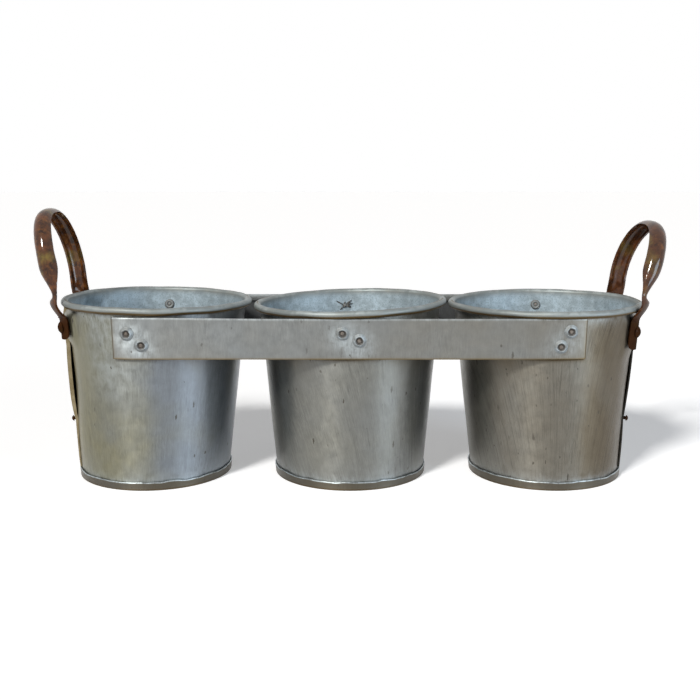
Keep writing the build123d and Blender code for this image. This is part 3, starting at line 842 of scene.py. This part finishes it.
def strap_piece(name, side):
    """A strap swept along the row, drawn in a little round each rivet and slightly uneven."""
    section = strap_section()
    first = -pitch - strap_ends["left"]
    last = pitch + strap_ends["right"]
    seats = [(pot_axis[pot] + along, up) for pot, along, up in strap_rivets[name]]
    stations = [first + (last - first) * step / strap_steps for step in range(strap_steps + 1)]
    shape = bmesh.new()
    places = shape.loops.layers.uv.new("sheet")
    rows = []
    marks = []
    for along in stations:
        row = []
        for up, off, face in section:
            drawn = 0
            for seat_along, seat_up in seats:
                away = (along - seat_along) ** 2 + (up - seat_up + strap_pull_drop) ** 2
                drawn += exp(-away / strap_pull_spread)
            wave = noise.noise(Vector((along * 14, up * 20, 3 * side)))
            ripple = noise.noise(Vector((along * 60, up * 60, 8 * side)))
            beaten = noise.noise(Vector((along * 260, up * 260, 5 * side)))
            sunk = min(drawn, 1.2) * (strap_sink[0] + strap_sink[1] * beaten)
            sunk += strap_wave[0] * (1 + wave) + strap_wave[1] * (1 + ripple)
            rise = strap_rise * noise.noise(Vector((along * 11, 5 * side, 2)))
            if up > 0 and side < 0:
                rise += strap_end_lift * smooth(-along, 0.05, pitch) * up / strap_height * 2
            spot = strap_spot(side, along, up + rise, off - sunk * off / strap_sheet / 2)
            row.append(shape.verts.new(spot))
            marks.append(strap_marks(along, up, face, drawn, first, last))
        rows.append(row)
    count = len(section)
    for step in range(strap_steps):
        for index in range(count):
            follow = (index + 1) % count
            corners = ((step, index), (step + 1, index), (step + 1, follow), (step, follow))
            made = shape.faces.new([rows[place][point] for place, point in corners])
            made.smooth = True
            made.material_index = 1 if section[index][2] == "rear" else 0
            for loop, (place, point) in zip(made.loops, corners):
                behind = 0.1 if section[point][2] == "rear" else 0
                loop[places].uv = (stations[place], section[point][0] + behind)
    shape.faces.new(rows[0])
    shape.faces.new(rows[-1])
    return finished_piece(f"{name}_band", shape, marks)


# The strap's inner side is painted dark grey, as the shade it lies in
painted_shade_back, painted_shade_tree, painted_shade_shader = new_material("painted_shade_strap_back")
painted_shade_greys = ((0.03, 0.033, 0.036, 1), (0.075, 0.078, 0.08, 1))
painted_shade_weather = weather_at(painted_shade_tree, sheet_place(painted_shade_tree), 25.0)
set_inputs(painted_shade_tree, painted_shade_shader, {
    "Base Color": mix(painted_shade_tree, painted_shade_weather["Mottle"], *painted_shade_greys),
    "Roughness": spread(painted_shade_tree, painted_shade_weather["Grain"], 0.3, 0.7, 0.55, 0.7),
    "Metallic": 0.5,
})
for name, side in strap_sides.items():
    strap = strap_piece(name, side)
    strap_zinc = zinc_finish(
        f"{name}_zinc", 70.0 + 9 * side, cool_strap, warm_strap, brush=0.12, pits=0.25, brown=strap_brown
    )
    for material in (strap_zinc, painted_shade_back):
        strap.data.materials.append(material)
    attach(strap, "root")
    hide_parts(name)

# Strap rivets
# Blind rivets of soft metal, with a domed head whose middle is sunk where the pin broke off.
# Each is pulled up through strap and wall, a little crooked, and its tail spreads inside the pot.
# On the back strap the middle pot's upper tail has split into ragged legs.
rivet_head = 0.0048
rivet_rise = 0.0014
rivet_edge = 0.00002
rivet_crater = 0.0029
rivet_crater_depth = 0.0007
rivet_bore = 0.00155
rivet_body = 0.0024
rivet_tail = 0.0037
rivet_tail_height = 0.0011
rivet_tail_room = 0.0006
rivet_tail_round = 0.0006
rivet_tail_dish = 0.0013
rivet_head_sunk = 0.0004
rivet_burr = 0.0002
rivet_dimple = 0.00018
rivet_dish = (0.0005, 0.0001)
rivet_dome_steps = 10
rivet_greys = ((0.175, 0.185, 0.185, 1), (0.26, 0.275, 0.275, 1))
rivet_bright = (0.36, 0.41, 0.44, 1)
rivet_dark = (0.055, 0.05, 0.045, 1)
rivet_grip = strap_face + sheet + rivet_tail_room
rivet_uneven = 0.11
rivet_steps = 48
nearby = 0.001
split_tail = ("back_strap", 2)


def rivet_section():
    """Closed section of a rivet: distance from its axis, height over the strap, wear and grime."""
    crater_floor = rivet_rise - rivet_crater_depth
    dome = []
    for step in range(rivet_dome_steps + 1):
        wide = rivet_crater + (rivet_head - rivet_crater) * step / rivet_dome_steps
        tall = rivet_edge + (rivet_rise - rivet_edge) * (0.5 + 0.5 * cos(pi * step / rivet_dome_steps))
        dome.append((wide, tall, 0.4 + 0.6 * smooth(tall, 0.0002, 0.0012), 0.0))
    return [
        (rivet_bore, crater_floor, 0.0, 1.0),
        (rivet_bore + rivet_dish[0], crater_floor + rivet_dish[1], 0.0, 1.0),
        (rivet_crater - rivet_burr, rivet_rise - rivet_burr, 0.0, 0.8),
        *dome,
        (rivet_head, -rivet_head_sunk, 0.0, 0.0),
        (rivet_body, -rivet_head_sunk, 0.0, 1.0),
        (rivet_body, -rivet_grip, 0.0, 1.0),
        (rivet_tail, -rivet_grip, 0.0, 0.9),
        (rivet_tail, -rivet_grip - rivet_tail_height * 0.6, 0.0, 0.7),
        (rivet_tail - rivet_tail_round, -rivet_grip - rivet_tail_height, 0.0, 0.4),
        (rivet_tail - rivet_tail_dish, -rivet_grip - rivet_tail_height, 0.0, 0.0),
        (rivet_bore, -rivet_grip - rivet_tail_height, 0.0, 0.0),
    ]


def seated_rivets(piece_name, name, side, section, crooked):
    """A section turned at each rivet of a strap, all as one piece, each to its own uneven shape."""
    shape = bmesh.new()
    marks = []
    for number, (pot, along, up) in enumerate(strap_rivets[name]):
        place = pot_axis[pot] + along
        seat = strap_spot(side, place, up, strap_face)
        before = strap_spot(side, place - nearby, up, 0)
        level = (strap_spot(side, place + nearby, up, 0) - before).normalized()
        out = (strap_spot(side, place, up, 0.01) - strap_spot(side, place, up, 0)).normalized()
        upright = out.cross(level)
        rows = []
        for step in range(rivet_steps):
            turn = 2 * pi * step / rivet_steps
            flat = level * cos(turn) + upright * sin(turn)
            spot = Vector((1.4 * cos(turn), 1.4 * sin(turn), number * 7.3 + 3 * side))
            uneven = crooked * (noise.noise(spot) + 0.5 * noise.noise(3 * spot) - 0.4)
            bright = min(max(0.3 + 1.3 * noise.noise(spot * 0.8 + Vector((0, 0, 4))), 0), 1)
            row = []
            for wide, tall, wear_and_highlight, grime_and_shade in section:
                shaped = tall > 0 and wide > rivet_bore
                if tall < -rivet_grip * 0.9 and wide > rivet_body and (name, number) == split_tail:
                    leg = noise.noise(Vector((3.1 * cos(turn), 3.1 * sin(turn), 1.7)))
                    wide *= (0.35 + 2.8 * max(leg, 0)) * (0.45 + 0.85 * abs(cos(turn)))
                    grime_and_shade = 1.0
                dimple = noise.noise(Vector((700 * wide * cos(turn), 700 * wide * sin(turn), number)))
                raised = tall + (rivet_dimple * dimple if shaped and tall > rivet_edge else 0.0)
                row.append(shape.verts.new(seat + flat * wide * (1 + uneven * shaped) + out * raised))
                marks.append((wear_and_highlight * bright, grime_and_shade, 0.5))
            rows.append(row)
        for step, row in enumerate(rows):
            after = rows[(step + 1) % rivet_steps]
            for index in range(len(section)):
                follow = (index + 1) % len(section)
                made = shape.faces.new((row[index], after[index], after[follow], row[follow]))
                made.smooth = True
    return finished_piece(piece_name, shape, marks)


rivet_finish, rivet_tree, rivet_shader = new_material("pressed_rivet")
rivet_place = add_node(rivet_tree, "ShaderNodeTexCoord").outputs["Object"]
rivet_wear, rivet_grime = point_marks(rivet_tree, "wear_and_highlight", "grime_and_shade")
rivet_weather = weather_at(rivet_tree, rivet_place, 30.0)
rivet_patch = spread(rivet_tree, rivet_weather["Grain"], 0.35, 0.65)
rivet_colour = mix(rivet_tree, rivet_patch, *rivet_greys)
rivet_colour = mix(rivet_tree, rivet_wear, rivet_colour, rivet_bright)
rivet_colour = mix(rivet_tree, rivet_grime, rivet_colour, rivet_dark)
set_inputs(rivet_tree, rivet_shader, {
    "Base Color": rivet_colour,
    "Roughness": spread(rivet_tree, rivet_weather["Grain"], 0.3, 0.7, 0.5, 0.7),
    "Metallic": 0.35,
})
for name, side in strap_sides.items():
    rivets = seated_rivets(f"{name}_blind_rivets", name, side, rivet_section(), rivet_uneven)
    rivets.data.materials.append(rivet_finish)
    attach(rivets, "root")
    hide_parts(f"{name}_rivets")

# Strap rivet pins
# The broken-off ends of the steel pins sit in the sunken middles of the rivets, domed and rough,
# and have rusted to a greyish brown.
pin_radius = 0.0015
pin_proud = 0.0003
pin_short = 0.0001
pin_dome = 0.0002
pin_top = rivet_rise - rivet_crater_depth + pin_proud
pin_end = -rivet_grip - rivet_tail_height + pin_short
pin_browns = ((0.11, 0.09, 0.075, 1), (0.22, 0.19, 0.165, 1))
pin_bright = (0.21, 0.225, 0.23, 1)
pin_dark = (0.06, 0.046, 0.034, 1)


def pin_section():
    """Closed section of a pin, given as a rivet's is."""
    return [
        (0.0, pin_top + pin_dome, 0.0, 0.0),
        (pin_radius * 0.5, pin_top + 0.00015, 0.0, 0.2),
        (pin_radius * 0.85, pin_top, 0.0, 0.6),
        (pin_radius, pin_top - pin_proud, 0.0, 1.0),
        (pin_radius, pin_end + pin_dome, 0.0, 1.0),
        (pin_radius * 0.8, pin_end, 2.0, 0.0),
        (0.0, pin_end, 2.0, 0.0),
    ]


pin_finish, pin_tree, pin_shader = new_material("rusty_pin")
pin_place = add_node(pin_tree, "ShaderNodeTexCoord").outputs["Object"]
pin_wear, pin_grime = point_marks(pin_tree, "wear_and_highlight", "grime_and_shade")
pin_weather = weather_at(pin_tree, pin_place, 50.0)
pin_share = spread(pin_tree, pin_weather["Grain"], 0.35, 0.65)
pin_colour = mix(pin_tree, pin_share, *pin_browns)
pin_colour = mix(pin_tree, pin_wear, pin_colour, pin_bright)
pin_colour = mix(pin_tree, pin_grime, pin_colour, pin_dark)
set_inputs(pin_tree, pin_shader, {"Base Color": pin_colour, "Roughness": 0.6, "Metallic": 0.4})
for name, side in strap_sides.items():
    pins = seated_rivets(f"{name}_broken_pins", name, side, pin_section(), 0.0)
    weld(pins, 1e-6)
    pins.data.materials.append(pin_finish)
    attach(pins, "root")
    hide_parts(f"{name}_rivet_pins")

# Handles, their rivets and the seam rivets
# Each handle is a strip of steel, crowned for the grip and twisted to its feet, rusted to brown and
# lacquered. Domed rivets through the feet, and the small ones in the seams, have the same coat.
rust_browns = ((0.028, 0.009, 0.003, 1), (0.115, 0.037, 0.01, 1))
rust_amber = (0.21, 0.078, 0.016, 1)
rust_green = (0.17, 0.12, 0.025, 1)
rust_dull = (0.035, 0.016, 0.011, 1)
# Painted shade: the feet under the rims are near black and carry little coat.
rust_foot_shade = (0.03, 0.012, 0.005, 1)
lacquer, rust_tree, rust_shader = new_material("lacquered_rust")
rust_place = add_node(rust_tree, "ShaderNodeTexCoord").outputs["Object"]
rust_weather = weather_at(rust_tree, rust_place, 80.0)
rust_bloom = cloud(rust_tree, rust_place, 260, 5.0, 0.6, 0.4)
rust_olive = cloud(rust_tree, rust_place, 55, 3.0, 0.5, 0.2)
rust_share = spread(rust_tree, rust_weather["Mottle"], 0.36, 0.66)
rust_colour = mix(rust_tree, rust_share, *rust_browns)
rust_olive = spread(rust_tree, rust_olive, 0.56, 0.7, 0.0, 0.8)
rust_broken = spread(rust_tree, rust_bloom, 0.35, 0.6, 0.4, 1.0)
rust_along, _, rust_height = add_node(rust_tree, "ShaderNodeSeparateXYZ", {0: rust_place}).outputs
rust_layers = (
    (spread(rust_tree, rust_bloom, 0.5, 0.72, 0.0, 0.75), rust_amber),
    (calc(rust_tree, "MULTIPLY", rust_olive, rust_broken), rust_green),
    (spread(rust_tree, rust_along, -0.05, 0.05, 0.0, 0.35), rust_dull),
    (spread(rust_tree, rust_height, 0.112, 0.13, 0.85, 0.0), rust_foot_shade),
)
for rust_share, layer in rust_layers:
    rust_colour = mix(rust_tree, rust_share, rust_colour, layer)
rust_skin = {"Strength": 0.4, "Distance": 0.0006, "Height": rust_bloom}
set_inputs(rust_tree, rust_shader, {
    "Base Color": rust_colour,
    "Roughness": spread(rust_tree, rust_weather["Mottle"], 0.3, 0.7, 0.4, 0.65),
    "Specular IOR Level": 0.0,
    "Coat Weight": spread(rust_tree, rust_height, 0.112, 0.135, 0.04, 0.75),
    "Coat Roughness": 0.1,
    "Normal": add_node(rust_tree, "ShaderNodeBump", rust_skin).outputs[0],
})
for side in ("left", "middle", "right"):
    for ending in ("handle", "handle_rivets", "seam_rivet"):
        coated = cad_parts.get(f"{side}_{ending}")
        if coated:
            coated.data.materials.clear()
            coated.data.materials.append(lacquer)

# Studio
# A pale floor, a soft light from the front left that throws the shadows back and to the right, and
# a cool soft box at the front right. Floor and surroundings show white, also in reflections.
floor_half = 8
floor_brightness = 0.325
room_fill = 0.12
sun_way = Vector((0.42, 0.7, -0.66))
box_aim = Vector((0, 0, 0.06))
floor_corners = [(x * floor_half, y * floor_half, 0) for x, y in ((-1, -1), (1, -1), (1, 1), (-1, 1))]
floor_mesh = bpy.data.meshes.new("floor")
floor_mesh.from_pydata(floor_corners, [], [(0, 1, 2, 3)])
floor = add_object("floor", floor_mesh)
floor_finish, floor_tree, floor_shader = new_material("pale_floor")


def seen_rays(tree):
    """1 for rays from the camera and for those that metal or glass sends on, otherwise 0."""
    path = add_node(tree, "ShaderNodeLightPath").outputs
    sent_on = calc(tree, "MAXIMUM", path["Is Glossy Ray"], path["Is Transmission Ray"])
    return calc(tree, "MAXIMUM", path["Is Camera Ray"], sent_on)


set_inputs(floor_tree, floor_shader, {
    "Base Color": (0.905, 0.912, 0.944, 1),
    "Roughness": 0.9,
    "Specular IOR Level": 0.0,
    "Emission Color": (1, 1, 1, 1),
    "Emission Strength": calc(floor_tree, "MULTIPLY", seen_rays(floor_tree), floor_brightness),
})
floor_mesh.materials.append(floor_finish)
floor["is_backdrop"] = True

sun_data = bpy.data.lights.new("front_left_light", "SUN")
sun_data.energy = 3.1
sun_data.angle = radians(11)
sun_data.color = (1.0, 0.98, 0.93)
sun = add_object("front_left_light", sun_data)
sun.rotation_euler = sun_way.to_track_quat("-Z", "Y").to_euler()

box_data = bpy.data.lights.new("front_right_box", "AREA")
box_data.shape = "RECTANGLE"
box_data.size = 0.6
box_data.size_y = 0.56
box_data.energy = 8.5
box_data.color = (0.74, 0.87, 1.0)
box_light = add_object("front_right_box", box_data)
box_light.location = (1.1, -0.85, 0.285)
box_light.rotation_euler = (box_aim - box_light.location).to_track_quat("-Z", "Y").to_euler()

studio = bpy.data.worlds.new("studio")
bpy.context.scene.world = studio
studio.use_nodes = True
surround = studio.node_tree.nodes["Background"].inputs
surround["Color"].default_value = (1, 1, 1, 1)
glow = spread(studio.node_tree, seen_rays(studio.node_tree), 0.0, 1.0, room_fill, 1.0)
studio.node_tree.links.new(glow, surround["Strength"])

camera_data = bpy.data.cameras.new("camera")
camera_data.sensor_width = 36
camera_data.lens = 53.15
camera_data.shift_y = -0.186
camera = add_object("camera", camera_data)
camera.location = (0, -0.7458, 0.2209)
camera.rotation_euler = (radians(87), 0, 0)
bpy.context.scene.camera = camera
bpy.context.scene.view_settings.view_transform = "Standard"

low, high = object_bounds()
